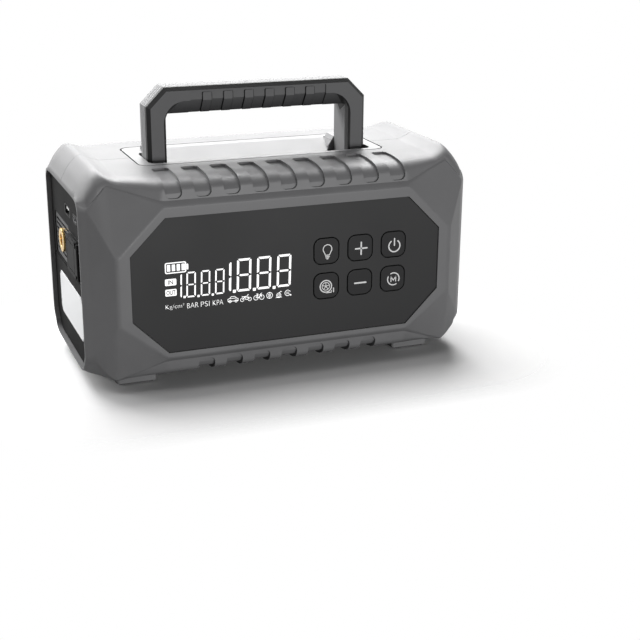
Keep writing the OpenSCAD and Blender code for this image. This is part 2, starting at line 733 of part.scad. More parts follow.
module handle_screws() color("#c9cbcd") for (h = handle_spots) translate([h[0], h[1], tub_low]) {
    difference() {
        translate([0, 0, -2.2]) cylinder(r = 1.7 * handle_screw_r, h = 2.2);
        translate([0, 0, -3]) cylinder(r = 1.3, h = 2, $fn = 6);
    }
    translate([0, 0, -0.2]) cylinder(r = handle_screw_r, h = 15);
}

// Left end panel and what is set in it. Local frame of on_left: X back, Y up, Z out.
panel_face = hw - panel_sink;
panel_back = panel_face - panel_t;
flange_t = 1.2;
usb_a_size = [18, 7.4];
usb_c_size = [12.4, 6.4];
usb_depth = 14;
socket_size = [cover_w + 4, cover_h + 3];
grille_mid = outlet_z + 0.5;
grille_ends = [socket_y + socket_size[0] / 2 + grille_gap, hd - grille_back];
grille_w = grille_ends[1] - grille_ends[0];
outlet_y = (grille_ends[0] + grille_ends[1]) / 2;
hinge_y = socket_y - cover_w / 2;
hinge_x = -panel_face - cover_t / 2 - 0.35;
hinge_r = 1.1;
module lens_shape(grow) cut_rect(light_w + 2 * grow, light_h + 2 * grow, 4 + 0.6 * grow);

module left_panel() color("#7d7e80") difference() {
    on_left(0, end_mid, -panel_back) linear_extrude(panel_t) end_outline(rim_w + fit);
    on_left(0, 0, -panel_back + over) linear_extrude(panel_t + 2 * over) mirror([1, 0]) {
        translate([usb_a_y, usb_z]) round_rect(usb_a_size[0], usb_a_size[1], 1);
        translate([usb_c_y, usb_z]) round_rect(usb_c_size[0], usb_c_size[1], 2);
        translate([outlet_y, grille_mid]) round_rect(grille_w, grille_h, 2.5);
        translate([socket_y, socket_z]) round_rect(socket_size[0], socket_size[1], 2.5);
        translate([light_y, light_z]) lens_shape(0);
    }
    on_left(0, 0, -panel_face + 0.5) linear_extrude(over) mirror([1, 0]) {
        translate([-end_y, outlet_z - grille_h / 2 - 1.2]) square([2 * end_y, 0.9]);
    }
}
module left_grille() color("#5d5e60") difference() {
    union() {
        on_left(outlet_y, grille_mid, -panel_back) linear_extrude(panel_t - 0.6)
            round_rect(grille_w - 2 * fit, grille_h - 2 * fit, 2.5 - fit);
        on_left(outlet_y, grille_mid, -panel_back + flange_t) linear_extrude(flange_t)
            round_rect(grille_w + 2, grille_h + 1.6, 3);
    }
    vents = floor((grille_h - 2) / vent_pitch);
    on_left(outlet_y, grille_mid, -panel_back + flange_t + over) linear_extrude(panel_t + 3) difference() {
        for (i = [0 : vents - 1]) translate([0, (i - (vents - 1) / 2) * vent_pitch])
            round_rect(grille_w - 5, vent_w, vent_w / 2 - 0.05);
        translate([0, -0.5]) circle(outlet_r + 0.6);
    }
    on_left(outlet_y, outlet_z, -panel_back + flange_t + over) cylinder(r = outlet_r - 1.45, h = panel_t + 4);
}
module air_outlet() color("#c9a24a") difference() {
    union() {
        on_left(outlet_y, outlet_z, -panel_face + 0.6) cylinder(r = outlet_r, h = 1.6);
        on_left(outlet_y, outlet_z, -panel_back + 8) cylinder(r = outlet_r - 1.5, h = panel_t + 8.4);
        on_left(outlet_y, outlet_z, -panel_back + 12) cylinder(r = 3.5, h = 6);
    }
    on_left(outlet_y, outlet_z, -panel_face - 1 + 8) cylinder(r = thread_r, h = 9);
    on_left(outlet_y, outlet_z, -panel_back + 13) cylinder(r = 1.8, h = 20);
}
module usb_a_port() color("#2a2a2b") difference() {
    union() {
        on_left(usb_a_y, usb_z, -panel_back) linear_extrude(panel_t)
            round_rect(usb_a_size[0] - 2 * fit, usb_a_size[1] - 2 * fit, 1);
        on_left(usb_a_y, usb_z, -panel_face + usb_depth) linear_extrude(usb_depth - panel_t + 0.5)
            round_rect(14.8, 7, 0.6);
    }
    on_left(usb_a_y, usb_z, -panel_face + usb_depth - 1) linear_extrude(usb_depth + 2)
        round_rect(13.2, 5.6, 0.4);
}
module usb_a_tongue() color("#e9e9e6")
    on_left(usb_a_y, usb_z + 1, -panel_face + usb_depth - 1) linear_extrude(usb_depth - 1.8)
        round_rect(11.6, 2, 0.3);
module usb_c_port() color("#8d8f92") difference() {
    union() {
        on_left(usb_c_y, usb_z, -panel_back + 0.5) linear_extrude(panel_t + 0.5)
            round_rect(usb_c_size[0] - 2 * fit, usb_c_size[1] - 2 * fit, 1.8);
        on_left(usb_c_y, usb_z - 0.4, -panel_face + usb_depth - 4) linear_extrude(usb_depth - panel_t - 4)
            round_rect(10, 6.2, 1.5);
    }
    difference() {
        on_left(usb_c_y, usb_z, -panel_face + usb_depth - 5) linear_extrude(usb_depth)
            round_rect(8.9, 3.2, 1.55);
        on_left(usb_c_y, usb_z, -panel_face + usb_depth - 5) linear_extrude(usb_depth - 6)
            round_rect(6.6, 0.8, 0.2);
    }
}
module port_board() color(board_green) {
    top = usb_z - 3.5;
    block([-panel_back + 2, -panel_back + 24], [usb_c_y - 9, usb_a_y + 10], [top - 1.6, top]);
    block([-panel_back + 16, -panel_back + 22], [usb_c_y + 4, usb_a_y - 9], [top - 0.2, top + 2.5]);
}

module start_socket() color("#222223") {
    difference() {
        union() {
            on_left(socket_y, socket_z, -panel_back) linear_extrude(panel_t)
                round_rect(socket_size[0] - 2 * fit, socket_size[1] - 2 * fit, 2.3);
            on_left(socket_y, socket_z, -panel_back + 13) linear_extrude(13.5)
                round_rect(socket_size[0] - 6, socket_size[1] - 6, 2);
        }
        on_left(socket_y, socket_z, -panel_face + 2) linear_extrude(4)
            round_rect(cover_w - 6, cover_h - 6, 3);
        for (s = [-1, 1]) on_left(socket_y + s * contact_pitch / 2, socket_z, -panel_back + 20)
            cylinder(r = contact_r + 1.1, h = 40);
    }
    // Knuckles and pin of the cover's hinge
    for (s = [0, 1]) translate([0, 0, socket_z]) mirror([0, 0, s]) {
        translate([hinge_x, hinge_y, cover_h / 2 - 2.5]) cylinder(r = hinge_r, h = 2.5);
        translate([hinge_x, hinge_y - hinge_r, cover_h / 2 - 2.5])
            cube([-hinge_x - panel_face + 0.3, 2 * hinge_r, 2.5]);
    }
    translate([hinge_x, hinge_y, socket_z - cover_h / 2 + 1]) cylinder(r = 0.55, h = cover_h - 2);
}
module start_contacts() color("#c9a24a")
    for (s = [-1, 1]) on_left(socket_y + s * contact_pitch / 2, socket_z, -panel_face + 19) {
        difference() {
            cylinder(r = contact_r + 1.1, h = 16);
            translate([0, 0, 4]) cylinder(r = contact_r, h = 16);
        }
        translate([0, 0, -4]) cylinder(r = 2.6, h = 4.5);
    }
module socket_cover() color("#39393b") {
    inner = panel_face + 0.35;
    difference() {
        union() {
            on_left(socket_y + 1, socket_z, -inner) linear_extrude(cover_t)
                round_rect(cover_w - 2, cover_h - 6.4, 2.5);
            on_left(socket_y + 2.2, socket_z, -inner) linear_extrude(cover_t)
                round_rect(cover_w - 4.4, cover_h, 3);
            translate([hinge_x, hinge_y, socket_z - cover_h / 2 + 2.8])
                cylinder(r = hinge_r, h = cover_h - 5.6);
            translate([-inner - cover_t, hinge_y, socket_z - cover_h / 2 + 3.2])
                cube([cover_t, 3, cover_h - 6.4]);
            on_left(socket_y + cover_w / 2 + 1.6, socket_z, -inner) linear_extrude(cover_t - 0.6)
                round_rect(6, 9, 2);
        }
        translate([hinge_x, hinge_y, socket_z - cover_h / 2]) cylinder(r = 0.6, h = cover_h);
        on_left(socket_y + 2.2, socket_z, -inner - cover_t + 0.4) linear_extrude(1) difference() {
            round_rect(cover_w - 9, cover_h - 5, 2);
            round_rect(cover_w - 10.4, cover_h - 6.4, 1.4);
        }
    }
}

module light_lens() color("#f1f2f2") {
    on_left(light_y, light_z, -panel_back) linear_extrude(panel_t + 0.4) lens_shape(-fit);
    on_left(light_y, light_z, -panel_back + flange_t) linear_extrude(flange_t) lens_shape(1.4);
}
module light_box() color("#e4e5e5") difference() {
    on_left(light_y, light_z, -panel_back + light_deep) linear_extrude(light_deep - flange_t)
        lens_shape(1.4);
    on_left(light_y, light_z, -panel_back + light_deep - 1.6) linear_extrude(light_deep) lens_shape(-1);
}
module light_board() color("#f4f4f0") {
    back = -panel_back + light_deep - 1.6;
    on_left(light_y, light_z, back) linear_extrude(1.2) lens_shape(-1.6);
    color("#f6d96b") for (i = [0 : led_cols - 1]) for (j = [0 : led_rows - 1])
        on_left(light_y + (i - (led_cols - 1) / 2) * 7.4, light_z + (j - (led_rows - 1) / 2) * 8.2, back - 1)
            translate([0, 0, 0.7]) cube([3, 3, 1.4], center = true);
}
module right_panel() color("#3b3c3e") difference() {
    on_right(0, end_mid, panel_back) linear_extrude(panel_t) end_outline(rim_w + fit);
    for (i = [0 : 6]) on_right(0, end_mid + 10 + i * 5, panel_back - over) linear_extrude(panel_t + 3)
        round_rect(56, 2, 0.95);
}
module rubber_feet() color("#262627") for (x = foot_spots) for (y = [-foot_y, foot_y])
    translate([x, y, 0]) linear_extrude(pad_t) round_rect(foot_w - 3 - 2 * fit, foot_d - 3 - 2 * fit, 1.5);
module case_screws() color("#b9bbbd") for (s = screw_spots) {
    difference() {
        along_y(s[0], s[1], screw_seat) cylinder(r = head_r, h = 2.4);
        along_y(s[0], s[1], screw_seat + 1) cylinder(r = 1.2, h = 2, $fn = 6);
    }
    along_y(s[0], s[1], screw_tip) cylinder(r = screw_r, h = screw_seat - screw_tip + 0.3);
}

// Battery: three rows of four cells between two comb plates
cols = 4;
rows = 3;
cell_margin = 0.4;
pack_low = foot_h + wall + 2;
pack_w = screw_x - boss_r - pack_gap - pack_x;
pack_h = rows * row_pitch + 2 * cell_margin;
col_pitch = (pack_w - 2 * cell_margin) / cols;
cell_r = (min(col_pitch, row_pitch) - cell_wall) / 2;
cell_hole = 9;
comb_t = 7;
link_t = 0.4;
cell_spots = [for (i = [0 : cols - 1]) for (j = [0 : rows - 1])
    [pack_x + cell_margin + (i + 0.5) * col_pitch, pack_low + cell_margin + (j + 0.5) * row_pitch]];
main_z = pack_low + pack_h + 6;

module battery_cells() color("#3f7fb0") for (c = cell_spots)
    along_y(c[0], c[1], -cell_len / 2) {
        translate([0, 0, 1]) cylinder(r = cell_r - 0.05, h = cell_len - 2);
        cylinder(r = 5, h = cell_len);
    }
module battery_frame() color("#26272a") {
    for (s = [0, 1]) mirror([0, s, 0]) {
        difference() {
            block([pack_x, pack_x + pack_w], [-cell_len / 2, -cell_len / 2 + comb_t],
                  [pack_low, pack_low + pack_h]);
            for (c = cell_spots) {
                along_y(c[0], c[1], -cell_len / 2 + 1) cylinder(r = cell_r, h = comb_t);
                along_y(c[0], c[1], -cell_len / 2 - over) cylinder(r = cell_hole, h = comb_t);
            }
        }
        for (x = [pack_x + 14, pack_x + pack_w - 28]) {
            block([x, x + 14], [-cell_len / 2, -cell_len / 2 + comb_t], [pack_low - 1.9, pack_low + 0.2]);
            translate([x + 7, -cell_len / 2 + 3.5, pack_low + pack_h - 0.2]) cylinder(r = 2.5, h = 6.2);
        }
    }
    for (i = [1 : cols - 1]) for (j = [1 : rows - 1])
        translate([pack_x + cell_margin + i * col_pitch, 0, pack_low + cell_margin + j * row_pitch])
            along_y(0, 0, -cell_len / 2 + 1) cylinder(r = 3, h = cell_len - 2);
}
module cell_links() color("#cfd1d2") for (side = [0, 1]) for (i = [side : 2 : cols - 2]) {
    first = cell_spots[i * rows];
    translate([first[0] - 5, side == 0 ? -cell_len / 2 - link_t : cell_len / 2, first[1] - 5])
        cube([col_pitch + 10, link_t, (rows - 1) * row_pitch + 10]);
}
module main_board() color(board_green) {
    block([pack_x + 4, pack_x + pack_w - 2], [-cell_len / 2, cell_len / 2], [main_z, main_z + 1.6]);
    for (i = [0 : 2]) translate([pack_x + 62 + i * 14, 18, main_z + 1.4]) {
        cylinder(r = 5, h = 14);
    }
    block([pack_x + 52, pack_x + 96], [-24, -10], [main_z + 1.4, main_z + 9]);
    for (i = [0 : 7]) translate([pack_x + 52 + i * 6, 0, 0])
        block([0, 2], [-24, -10], [main_z + 8.8, main_z + 14]);
    block([pack_x + 60, pack_x + 72], [-4, 8], [main_z + 1.4, main_z + 3.4]);
}
module start_relay() color("#303a46") {
    block([pack_x + 12, pack_x + 40], [-14, 14], [main_z + 1.6, main_z + 22]);
    for (y = [-9, 9]) translate([pack_x + 26, y, main_z + 21.8]) cylinder(r = 2.5, h = 3);
}

// Compressor: motor along X, gearbox at its left, cylinder standing on the gearbox
motor_y = 16;
motor_x = [pipe_room + gearbox_len - panel_back, pack_x - fan_room];
motor_len = motor_x[1] - motor_x[0];
shaft_r = 2.5;
crank_x = motor_x[0] - gearbox_len / 2;
gear_top = motor_z + 19;
head_low = gear_top + 34;
base_low = foot_h + wall + 3;

module motor() color("#9da0a3") {
    along_x(motor_y, motor_z, motor_x[0]) cylinder(r = motor_r, h = motor_len - 4);
    along_x(motor_y, motor_z, motor_x[1] - 4.2) cylinder(r = motor_r - 2, h = 4.2);
    along_x(motor_y, motor_z, motor_x[1] - 0.2) cylinder(r = shaft_r, h = 7);
    translate([motor_x[1] - 11, motor_y, motor_z + motor_r + 1]) cube([10, 10, 4], center = true);
}
module motor_fan() color("#2d2e30") difference() {
    union() {
        along_x(motor_y, motor_z, motor_x[1] + 1) cylinder(r = 6, h = 5);
        for (i = [0 : blades - 1]) along_x(motor_y, motor_z, motor_x[1] + 3.5) rotate(i * 360 / blades)
            translate([5, 0, 0]) rotate([38, 0, 0]) translate([0, -3.4, -0.5]) cube([fan_r - 5, 6.8, 1]);
    }
    along_x(motor_y, motor_z, motor_x[1]) cylinder(r = shaft_r + 0.05, h = 8);
}
module gearbox() color("#b4b6b8") difference() {
    block([motor_x[0] - gearbox_len, motor_x[0]], [motor_y - 19, motor_y + 19], [motor_z - 22, gear_top]);
    for (y = [-15, 15]) for (z = [-18, 15]) along_x(motor_y + y, motor_z + z, motor_x[0] - gearbox_len - over)
        cylinder(r = 1.6, h = 7);
}
module cylinder_barrel() color("#a9abad") {
    translate([crank_x, motor_y, gear_top]) cylinder(r = fin_r - 6, h = head_low - gear_top);
    for (i = [0 : fins - 1]) translate([crank_x, motor_y, gear_top + 3 + i * 30 / fins])
        cylinder(r = fin_r, h = 1.6);
}
module cylinder_head() color("#a4a6a8") {
    translate([crank_x, motor_y, head_low]) cylinder(r = 14, h = 8);
    along_x(motor_y, head_low + 4, crank_x - 17) cylinder(r = 4, h = 6);
    for (a = [45 : 90 : 315]) translate([crank_x, motor_y, head_low + 7.8]) rotate(a)
        translate([10.5, 0, 0]) cylinder(r = 2, h = 1.8, $fn = 6);
}
module motor_cradle() color("#505254") {
    block([crank_x - gearbox_len / 2, motor_x[1] - 4], [motor_y - 19, motor_y + 19],
          [base_low, base_low + 2.5]);
    block([crank_x - 10, crank_x + 10], [motor_y - 14, motor_y + 14], [base_low + 2.3, motor_z - 22]);
    for (x = [motor_x[0] + 6, motor_x[1] - 16]) difference() {
        block([x, x + 7], [motor_y - 17, motor_y + 17], [base_low + 2.3, motor_z - 8]);
        along_x(motor_y, motor_z, x - over) cylinder(r = motor_r + 0.05, h = 9);
    }
}
module rubber_mounts() color("#1f1f20")
    for (x = [crank_x - 6, motor_x[1] - 12]) for (y = [-13, 13])
        translate([x, motor_y + y, foot_h + wall + 0.1]) cylinder(r = 5, h = 2.9);

// Round bar from a to b, and a bent run of it
module rod(a, b, r) {
    v = b - a;
    translate(a) rotate([0, acos(v[2] / norm(v)), atan2(v[1], v[0])]) cylinder(r = r, h = norm(v), $fn = 12);
}
module run(points, r) {
    for (i = [0 : len(points) - 2]) rod(points[i], points[i + 1], r);
    for (i = [1 : len(points) - 2]) translate(points[i]) sphere(r + 0.05, $fn = 12);
}
module air_pipe() color("#c08a5a") {
    z = head_low + 4;
    run([[crank_x - 17, motor_y, z], [crank_x - 23, motor_y, z], [crank_x - 26, outlet_y, z - 5],
         [crank_x - 26, outlet_y, outlet_z + 4], [crank_x - 28, outlet_y, outlet_z],
         [-panel_back + 12, outlet_y, outlet_z]], 2.6);
}
lead_x = -panel_face + 23;
module lead(y, z, end_x) run([[lead_x, y, socket_z], [lead_x + 5, y, socket_z], [lead_x + 18, -44, z],
    [end_x - 8, -44, z], [end_x, -36.5, z], [end_x + 4, -cell_len / 2 - link_t - 2.6, z]], 2.6);
module positive_lead() color("#b3261e") lead(socket_y + contact_pitch / 2, socket_z + 6, pack_x + 10);
module negative_lead() color("#1d1d1e") lead(socket_y - contact_pitch / 2, socket_z - 4, pack_x + 24);

front_shell();
rear_shell();
display_panel();
light_button();
plus_button();
power_button();
inflate_button();
minus_button();
mode_button();
control_board();
display_module();
handle_seat();
handle_frame();
handle_grip();
handle_screws();
left_panel();
left_grille();
air_outlet();
usb_a_port();
usb_a_tongue();
usb_c_port();
port_board();
start_socket();
start_contacts();
socket_cover();
light_lens();
light_box();
light_board();
right_panel();
rubber_feet();
case_screws();
battery_cells();
battery_frame();
cell_links();
main_board();
start_relay();
motor();
motor_fan();
gearbox();
cylinder_barrel();
cylinder_head();
air_pipe();
motor_cradle();
rubber_mounts();
positive_lead();
negative_lead();
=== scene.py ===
"""Looks of the jump starter pack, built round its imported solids."""
import math
import json

import bpy
from mathutils import Matrix, Vector

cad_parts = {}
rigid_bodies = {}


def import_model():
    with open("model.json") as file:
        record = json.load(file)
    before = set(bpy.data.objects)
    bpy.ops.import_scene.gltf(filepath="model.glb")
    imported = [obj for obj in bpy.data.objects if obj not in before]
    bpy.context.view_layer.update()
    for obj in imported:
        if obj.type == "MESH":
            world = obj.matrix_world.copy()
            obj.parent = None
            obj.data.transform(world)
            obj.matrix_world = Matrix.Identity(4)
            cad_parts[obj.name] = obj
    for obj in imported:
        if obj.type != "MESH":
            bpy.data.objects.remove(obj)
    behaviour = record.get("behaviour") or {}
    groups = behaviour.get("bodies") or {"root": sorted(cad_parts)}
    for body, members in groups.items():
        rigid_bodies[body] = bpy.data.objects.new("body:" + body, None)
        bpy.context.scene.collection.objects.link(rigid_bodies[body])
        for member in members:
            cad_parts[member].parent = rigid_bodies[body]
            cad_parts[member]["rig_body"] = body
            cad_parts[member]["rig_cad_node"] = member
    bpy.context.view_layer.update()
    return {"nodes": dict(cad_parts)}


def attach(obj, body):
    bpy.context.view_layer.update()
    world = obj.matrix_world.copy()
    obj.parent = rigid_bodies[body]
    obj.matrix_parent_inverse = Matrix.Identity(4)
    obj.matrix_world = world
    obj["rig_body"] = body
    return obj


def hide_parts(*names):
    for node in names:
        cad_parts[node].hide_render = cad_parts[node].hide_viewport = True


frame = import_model()
nodes = frame["nodes"]
bpy.ops.object.select_all(action="DESELECT")
MM = 0.001

# ---------------------------------------------------------------- camera
# A long lens, about 0.83 m from the front, a little to the left and above,
# as worked out from the edges of the housing in the photograph.
CAM_AZIMUTH, CAM_ELEVATION, CAM_ROLL = (math.radians(turn) for turn in (-21.66, 19.22, 0.45))
CAM_TARGET, CAM_DISTANCE = Vector((19.9, -73.0, 37.8)) * MM, 832.5 * MM
# The sensor's width is in millimetres
SENSOR_WIDTH, FOCAL_PIXELS, PICTURE_PIXELS = 36, 1274.05, 640
back = Vector((math.sin(CAM_AZIMUTH) * math.cos(CAM_ELEVATION),
               -math.cos(CAM_AZIMUTH) * math.cos(CAM_ELEVATION), math.sin(CAM_ELEVATION)))
level = (-back).cross(Vector((0, 0, 1))).normalized()
upright = level.cross(-back)
side = level * math.cos(CAM_ROLL) + upright * math.sin(CAM_ROLL)
upward = upright * math.cos(CAM_ROLL) - level * math.sin(CAM_ROLL)
lens_data = bpy.data.cameras.new("camera")
lens_data.sensor_width = SENSOR_WIDTH
lens_data.lens = FOCAL_PIXELS * SENSOR_WIDTH / PICTURE_PIXELS
camera = bpy.data.objects.new("camera", lens_data)
bpy.context.scene.collection.objects.link(camera)
camera.matrix_world = Matrix.Translation(CAM_TARGET + back * CAM_DISTANCE) @ Matrix((
    (side.x, upward.x, back.x, 0), (side.y, upward.y, back.y, 0),
    (side.z, upward.z, back.z, 0), (0, 0, 0, 1)))
bpy.context.scene.camera = camera
bpy.context.scene.view_settings.view_transform = "Standard"


# ---------------------------------------------------------------- studio
# Soft boxes: a low and a high one behind, one behind to the left, a small one
# over the left and a low one in front. The floor keeps the shadow under the
# part and fades into the white world.
class Wire:
    """A socket of a material's or the world's nodes, with Python's arithmetic."""

    def __init__(self, socket):
        self.socket = socket
        self.tree = socket.id_data

    def node(self, kind, inputs, out=0, **settings):
        """The output of a new node fed with wires and plain values."""
        made = self.tree.nodes.new(kind)
        for name, value in settings.items():
            setattr(made, name, value)
        for name, value in inputs.items():
            if isinstance(value, Wire):
                self.tree.links.new(value.socket, made.inputs[name])
            else:
                made.inputs[name].default_value = value
        return Wire(made.outputs[out])

    def math(self, operation, *others, clamp=False):
        values = dict(enumerate((self,) + others))
        return self.node("ShaderNodeMath", values, operation=operation, use_clamp=clamp)

    def __add__(self, other):
        return self.math("ADD", other)

    def __mul__(self, other):
        return self.math("MULTIPLY", other)

    def noise(self, scale, detail):
        return self.node("ShaderNodeTexNoise", {"Vector": self, "Scale": scale, "Detail": detail})

    def between(self, low, high, from_low=0.0, from_high=1.0):
        """This value, taken from one range to another and kept inside it."""
        return self.node("ShaderNodeMapRange", {0: self, 1: from_low, 2: from_high, 3: low, 4: high})

    def greys(self, first, second):
        """A mix of two greys by this value."""
        return self.node("ShaderNodeMix", {0: self, 6: (first,) * 3 + (1,), 7: (second,) * 3 + (1,)},
                         out=2, data_type="RGBA")

    def vector(self, operation, *others, out=0):
        values = dict(enumerate((self,) + others))
        return self.node("ShaderNodeVectorMath", values, out=out, operation=operation)


def start_finish(name):
    """A new material, its shader node, and its object coordinates in metres."""
    made = bpy.data.materials.new(name)
    made.use_nodes = True
    shader = made.node_tree.nodes["Principled BSDF"]
    place = made.node_tree.nodes.new("ShaderNodeTexCoord")
    return made, shader, Wire(place.outputs["Object"])


def feed(shader, name, value):
    """Wires a value into an input of the shader."""
    shader.id_data.links.new(value.socket, shader.inputs[name])


def soft_box(name, place, target, width, height, power):
    """An area lamp turned to its target, in metres and watts."""
    data = bpy.data.lights.new(name, "AREA")
    data.shape, data.size, data.size_y, data.energy = "RECTANGLE", width, height, power
    lamp = bpy.data.objects.new(name, data)
    bpy.context.scene.collection.objects.link(lamp)
    lamp.location = place
    lamp.rotation_mode = "QUATERNION"
    lamp.rotation_quaternion = (Vector(target) - Vector(place)).to_track_quat("-Z", "Y")


# Name, place, target, width, height and power
soft_box("box_behind", (0, 1.2, 0.55), (0, 0, 0.1), 2.0, 0.8, 10)
soft_box("box_over_back", (0, 0.75, 0.85), (0, 0, 0.1), 1.4, 0.5, 30)
soft_box("box_behind_left", (-1.0, 0.7, 0.6), (0, 0, 0.1), 0.8, 0.8, 9)
soft_box("box_over_left", (-0.55, -0.25, 1.1), (0, 0, 0.1), 0.5, 0.5, 2)
soft_box("box_front_low", (0.2, -1.5, 0.12), (0, 0, 0.08), 0.9, 0.2, 16)
WORLD_LIGHT = 0.03
world = bpy.data.worlds.new("studio")
bpy.context.scene.world = world
world.use_nodes = True
sky = world.node_tree.nodes["Background"]
path = world.node_tree.nodes.new("ShaderNodeLightPath")
seen = Wire(path.outputs["Is Camera Ray"]) + Wire(path.outputs["Is Glossy Ray"])
seen = seen.math("ADD", Wire(path.outputs["Is Transmission Ray"]), clamp=True)
sky.inputs["Color"].default_value = (1, 1, 1, 1)
world.node_tree.links.new(seen.between(WORLD_LIGHT, 1.0).socket, sky.inputs["Strength"])

# Half sizes of the ground under the part, and where the fade begins and ends beyond it;
# the floor's grey for the light it throws back and for the camera
UNDER_X, UNDER_Y, FADE_START, FADE_END = 0.12, 0.065, 0.015, 0.085
FLOOR_SIZE, FLOOR_BOUNCE, FLOOR_SEEN = 4, 0.3, 0.9
bpy.ops.mesh.primitive_plane_add(size=FLOOR_SIZE)
floor = bpy.context.active_object
floor.name = "floor"
floor_paint, floor_shader, floor_place = start_finish("white_floor")
floor_path = floor_place.node("ShaderNodeLightPath", {})
feed(floor_shader, "Base Color", floor_path.greys(FLOOR_BOUNCE, FLOOR_SEEN))
floor_shader.inputs["Roughness"].default_value = 0.9
floor_shader.inputs["Specular IOR Level"].default_value = 0.0
beyond = floor_place.vector("ABSOLUTE").vector("SUBTRACT", (UNDER_X, UNDER_Y, 0.0))
far = beyond.vector("MAXIMUM", (0.0, 0.0, 0.0)).vector("LENGTH", out=1)
feed(floor_shader, "Alpha", far.between(1.0, 0.0, FADE_START, FADE_END))
floor.data.materials.append(floor_paint)
bpy.ops.object.select_all(action="DESELECT")


# ---------------------------------------------------------------- housing
# Two moulded half shells in grey plastic with a fine spark-eroded surface,
# screwed together from behind.
HOUSING_GREY = (0.14, 0.14, 0.143)
# Distance in metres at which vertices are one, and the angle in degrees up to
# which faces are one plane, or are shaded as one surface
DOUBLE, FLAT, SMOOTH = 0.000004, 0.6, 32


def softened(name, width, body, angle=35, segments=2):
    """A copy of a solid with its sharp edges rounded by a width in millimetres, on a body."""
    copy = nodes[name].copy()
    copy.data = nodes[name].data.copy()
    copy.name = name + "_skin"
    bpy.context.scene.collection.objects.link(copy)
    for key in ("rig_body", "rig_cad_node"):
        del copy[key]
    copy.parent = None
    copy.select_set(True)
    bpy.context.view_layer.objects.active = copy
    bpy.ops.object.mode_set(mode="EDIT")
    bpy.ops.mesh.select_all(action="SELECT")
    bpy.ops.mesh.customdata_custom_splitnormals_clear()
    bpy.ops.mesh.remove_doubles(threshold=DOUBLE)
    bpy.ops.mesh.dissolve_limited(angle_limit=math.radians(FLAT))
    bpy.ops.object.mode_set(mode="OBJECT")
    if width:
        edge = copy.modifiers.new("edge", "BEVEL")
        edge.width, edge.segments = width * MM, segments
        edge.limit_method, edge.angle_limit = "ANGLE", math.radians(angle)
        edge.miter_outer = "MITER_ARC"
        bpy.ops.object.modifier_apply(modifier=edge.name)
    bpy.ops.object.shade_smooth_by_angle(angle=math.radians(SMOOTH))
    even = copy.modifiers.new("even", "WEIGHTED_NORMAL")
    even.keep_sharp = True
    bpy.ops.object.modifier_apply(modifier=even.name)
    copy.select_set(False)
    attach(copy, body)
    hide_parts(name)
    return copy


# The part of a noise's range that its values mostly lie in
NOISE_LOW, NOISE_HIGH = 0.3, 0.7


def lay(shader, colour, tone, polish, roughness, spread, grain, depth):
    """Feeds a colour times a tone, an uneven roughness, and the bump of a grain in millimetres."""
    shade = tone.node("ShaderNodeVectorMath", {0: colour, "Scale": tone}, operation="SCALE")
    feed(shader, "Base Color", shade)
    feed(shader, "Roughness", polish.between(roughness - spread, roughness + spread, NOISE_LOW, NOISE_HIGH))
    bump = grain.node("ShaderNodeBump", {"Height": grain, "Distance": depth * MM, "Strength": 1.0})
    feed(shader, "Normal", bump)


def moulded(name, colour, roughness=0.5, grain=0.35, depth=0.02, gloss=0.5, mottle=0.06, fade=None):
    """Moulded plastic: a fine eroded grain and slightly uneven gloss. A fade has an axis, the
    start and end of a span along it in millimetres, and the tone at its start."""
    made, shader, place = start_finish(name)
    fine = place.noise(1000 / grain, 2.0)
    cloud = place.noise(24.0, 4.0)
    tone = cloud.between(1 - mottle, 1 + mottle, NOISE_LOW, NOISE_HIGH)
    if fade:
        axis, start, end, dark = fade
        along = place.node("ShaderNodeSeparateXYZ", {0: place}, out="XYZ".index(axis))
        tone = tone * along.between(dark, 1.0, start * MM, end * MM)
    lay(shader, colour, tone, cloud, roughness, spread=0.05, grain=fine, depth=depth)
    shader.inputs["Specular IOR Level"].default_value = gloss
    return made


def paint(piece, finish):
    """Gives a piece one finish."""
    piece.data.materials.clear()
    piece.data.materials.append(finish)


def dress(name, edge, finish, slot, *seconds, body="housing", **rounding):
    """Rounds and paints a solid. Each further pair is a finish and the rule for its faces,
    given a face's middle in millimetres and its normal."""
    piece = softened(name, edge, body, **rounding)
    paint(piece, finish)
    for index, (second, chosen) in enumerate(seconds, 1):
        piece.data.materials.append(second)
        for face in piece.data.polygons:
            if chosen(face.center / MM, face.normal):
                face.material_index = index


housing_plastic = moulded("housing_plastic", HOUSING_GREY, 0.44, gloss=0.25)
for name in ("front_shell", "rear_shell"):
    dress(name, 0.3, housing_plastic, "housing", angle=50, segments=1)


# ---------------------------------------------------------------- panel and keys
# The dark front panel with cut corners, and six square keys sunk in it, each
# moving with its own body.
PANEL_DARK, KEY_DARK = (0.019, 0.019, 0.0195), (0.013, 0.013, 0.0135)
panel_plastic = moulded("panel_plastic", PANEL_DARK, 0.5, grain=0.25, depth=0.006, gloss=0.18)
key_plastic = moulded("key_plastic", KEY_DARK, 0.5, grain=0.25, depth=0.005, gloss=0.15)
dress("display_panel", 0.3, panel_plastic, "panel")
for name in ("light", "plus", "power", "inflate", "minus", "mode"):
    dress(name + "_button", 0.45, key_plastic, "keys", body=name + "_button")


# ---------------------------------------------------------------- marks
# What is printed on the keys and what glows behind the panel: thin flat
# pieces, drawn in the X-Z plane in millimetres and laid on the face.
PLATE_FACE, KEY_FACE, PRINT = -72.2, -72.5, 0.05
FONT_SIZE, FINE, BOLD = 4, -0.08, 0.05


def arc(x, z, radius, start=0, end=360, steps=28):
    """Points along an arc, in degrees from +X towards +Z; a whole turn leaves out the last."""
    whole = end - start == 360
    turns = [math.radians(start + (end - start) * i / steps) for i in range(steps + (not whole))]
    return [(x + radius * math.cos(t), z + radius * math.sin(t)) for t in turns]


